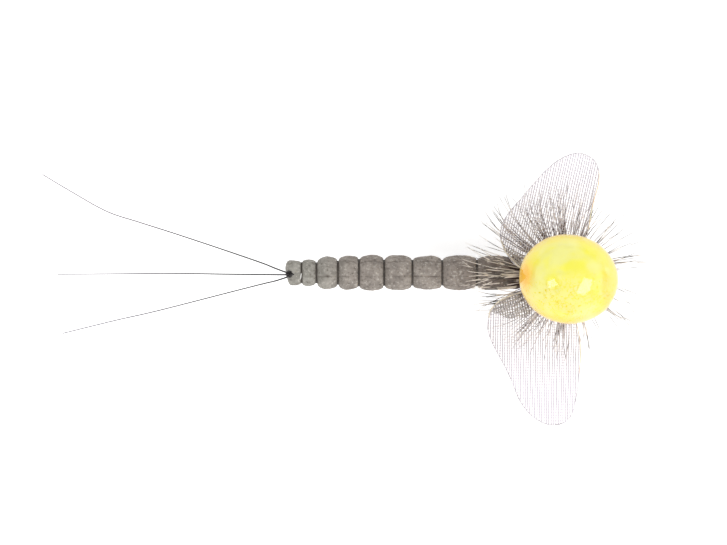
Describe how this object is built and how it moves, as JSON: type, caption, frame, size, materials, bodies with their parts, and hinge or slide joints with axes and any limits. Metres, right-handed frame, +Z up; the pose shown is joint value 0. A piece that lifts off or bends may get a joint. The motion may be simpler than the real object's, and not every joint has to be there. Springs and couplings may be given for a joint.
{
  "type": "dry fly",
  "caption": "Extended-body mayfly dry fly: segmented foam abdomen, mesh wings, parachute hackle and round sight ball on a ring-eye hook.",
  "frame": {"origin": "centre of the hook's eye, on its bore axis, in the middle plane of the shank", "axes": "+X forwards from the tails to the eye along the shank, +Y to the fly's left, +Z up towards the sight ball"},
  "size_m": [0.0499, 0.0217, 0.0153],
  "materials": {
    "hook_steel": "bronzed wire",
    "foam": "closed-cell foam, matt",
    "thread": "waxed thread",
    "dubbing": "loose fur",
    "cement": "gloss head cement",
    "post_yarn": "yarn",
    "feather_stem": "feather stem",
    "feather_barbs": "barred feather",
    "wing_mesh": "sheer woven mesh",
    "ball_core": "mottled foam",
    "ball_coat": "clear gloss resin",
    "tail_fibre": "tapered synthetic hair"
  },
  "bodies": {
    "hook_assembly": {"hook": "hook_steel", "foam_segment_9": "foam", "thorax_dubbing": "dubbing", "wing_post": "post_yarn", "hackle_stem": "feather_stem", "hackle_barbs": "feather_barbs", "sight_ball_core": "ball_core", "sight_ball_coat": "ball_coat", "shank_thread": "thread", "rib_wrap_8": "thread", "tie_in_wrap": "thread", "head_wrap": "thread", "head_cement": "cement", "post_wrap": "thread", "wing_lashing": "thread"},
    "segment_8": {"foam_segment_8": "foam", "rib_wrap_7": "thread"},
    "segment_7": {"foam_segment_7": "foam", "rib_wrap_6": "thread"},
    "segment_6": {"foam_segment_6": "foam", "rib_wrap_5": "thread"},
    "segment_5": {"foam_segment_5": "foam", "rib_wrap_4": "thread"},
    "segment_4": {"foam_segment_4": "foam", "rib_wrap_3": "thread"},
    "segment_3": {"foam_segment_3": "foam", "rib_wrap_2": "thread"},
    "segment_2": {"foam_segment_2": "foam", "rib_wrap_1": "thread"},
    "segment_1": {"foam_segment_1": "foam", "tail_knot": "cement"},
    "tails": {"tail_left": "tail_fibre", "tail_middle": "tail_fibre", "tail_right": "tail_fibre"},
    "left_wing_panel": {"left_wing": "wing_mesh"},
    "right_wing_panel": {"right_wing": "wing_mesh"}
  },
  "joints": [
    {"name": "abdomen_curl", "type": "hinge", "parent": "hook_assembly", "child": "segment_8", "pos_m": [-0.01017, 0, 0.00075], "axis": [0, 1, 0], "range_deg": [-6, 6], "stiffness_Nm_per_rad": 0.0002},
    {"name": "groove_7_flex", "type": "hinge", "parent": "segment_8", "child": "segment_7", "pos_m": [-0.01295, 0, 0.00075], "axis": [0, 1, 0], "range_deg": [-6, 6], "stiffness_Nm_per_rad": 0.000005},
    {"name": "groove_6_flex", "type": "hinge", "parent": "segment_7", "child": "segment_6", "pos_m": [-0.01534, 0, 0.00075], "axis": [0, 1, 0], "range_deg": [-6, 6], "stiffness_Nm_per_rad": 0.000005},
    {"name": "groove_5_flex", "type": "hinge", "parent": "segment_6", "child": "segment_5", "pos_m": [-0.0176, 0, 0.00075], "axis": [0, 1, 0], "range_deg": [-6, 6], "stiffness_Nm_per_rad": 0.000004},
    {"name": "groove_4_flex", "type": "hinge", "parent": "segment_5", "child": "segment_4", "pos_m": [-0.01962, 0, 0.00075], "axis": [0, 1, 0], "range_deg": [-6, 6], "stiffness_Nm_per_rad": 0.0000025},
    {"name": "groove_3_flex", "type": "hinge", "parent": "segment_4", "child": "segment_3", "pos_m": [-0.0213, 0, 0.00075], "axis": [0, 1, 0], "range_deg": [-6, 6], "stiffness_Nm_per_rad": 0.000002},
    {"name": "groove_2_flex", "type": "hinge", "parent": "segment_3", "child": "segment_2", "pos_m": [-0.02301, 0, 0.00075], "axis": [0, 1, 0], "range_deg": [-6, 6], "stiffness_Nm_per_rad": 0.000001},
    {"name": "groove_1_flex", "type": "hinge", "parent": "segment_2", "child": "segment_1", "pos_m": [-0.02421, 0, 0.00075], "axis": [0, 1, 0], "range_deg": [-6, 6], "stiffness_Nm_per_rad": 0.000001},
    {"name": "tail_flex", "type": "hinge", "parent": "segment_1", "child": "tails", "pos_m": [-0.02536, 0, 0.00166], "axis": [0, 1, 0], "range_deg": [-20, 20], "stiffness_Nm_per_rad": 0.000002},
    {"name": "left_wing_hinge", "type": "hinge", "parent": "hook_assembly", "child": "left_wing_panel", "pos_m": [-0.0029, 0.00103, 0.00297], "axis": [1, 0, 0], "range_deg": [-8, 20], "stiffness_Nm_per_rad": 0.000002},
    {"name": "right_wing_hinge", "type": "hinge", "parent": "hook_assembly", "child": "right_wing_panel", "pos_m": [-0.0029, -0.00103, 0.00297], "axis": [-1, 0, 0], "range_deg": [-8, 20], "stiffness_Nm_per_rad": 0.000002}
  ],
  "couplings": [
    {"joint": "groove_7_flex", "follows": "abdomen_curl", "ratio": 1},
    {"joint": "groove_6_flex", "follows": "abdomen_curl", "ratio": 1},
    {"joint": "groove_5_flex", "follows": "abdomen_curl", "ratio": 1},
    {"joint": "groove_4_flex", "follows": "abdomen_curl", "ratio": 1},
    {"joint": "groove_3_flex", "follows": "abdomen_curl", "ratio": 1},
    {"joint": "groove_2_flex", "follows": "abdomen_curl", "ratio": 1},
    {"joint": "groove_1_flex", "follows": "abdomen_curl", "ratio": 1}
  ]
}
